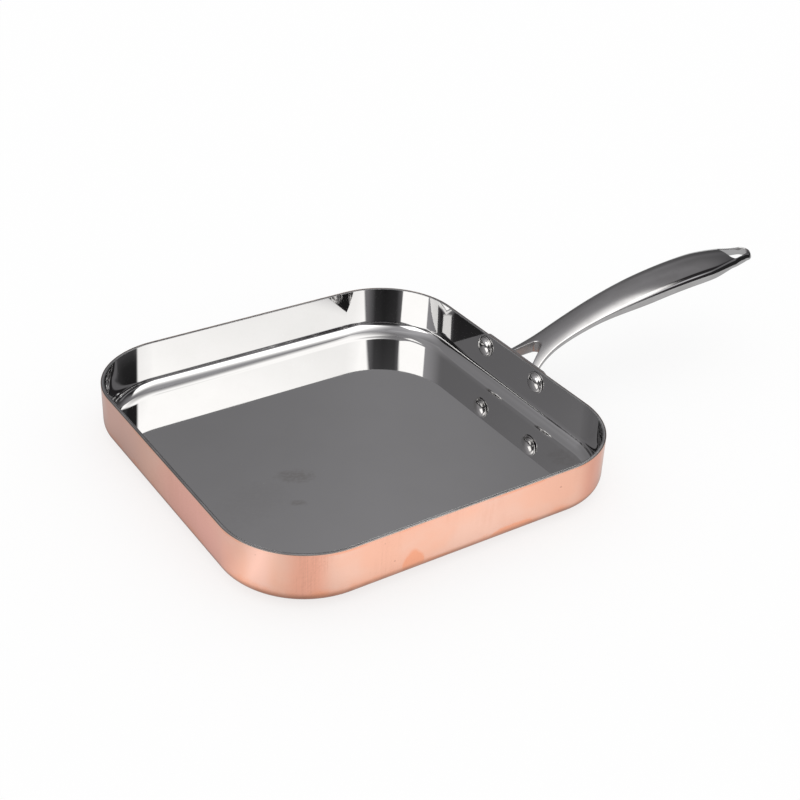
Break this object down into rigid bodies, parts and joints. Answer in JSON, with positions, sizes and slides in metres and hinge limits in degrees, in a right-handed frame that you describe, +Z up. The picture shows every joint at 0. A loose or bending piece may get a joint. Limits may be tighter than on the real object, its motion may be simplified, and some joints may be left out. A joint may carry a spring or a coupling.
{
  "type": "square baking pan",
  "caption": "Shallow square clad-metal baking pan with rounded corners, copper outside and polished steel inside, and a long riveted cast handle with a forked foot and a hanging hole.",
  "frame": {"origin": "centre of the flat underside of the pan's base, on the surface that the pan stands on", "axes": "+X from the pan's centre towards the end of the handle, +Z up out of the pan's mouth, +Y across the handle; the object is a mirror image of itself about the plane Y = 0"},
  "size_m": [0.4746, 0.26, 0.0689],
  "materials": {
    "copper": "satin copper, lightly brushed and a little tarnished",
    "aluminium": "plain, seen only at the rim's cut edge",
    "polished_steel": "mirror polished",
    "cast_steel": "satin cast"
  },
  "bodies": {
    "root": {"copper_shell": "copper", "aluminium_core": "aluminium", "steel_liner": "polished_steel", "handle": "cast_steel", "rivet_left": "polished_steel", "rivet_right": "polished_steel"}
  },
  "joints": []
}
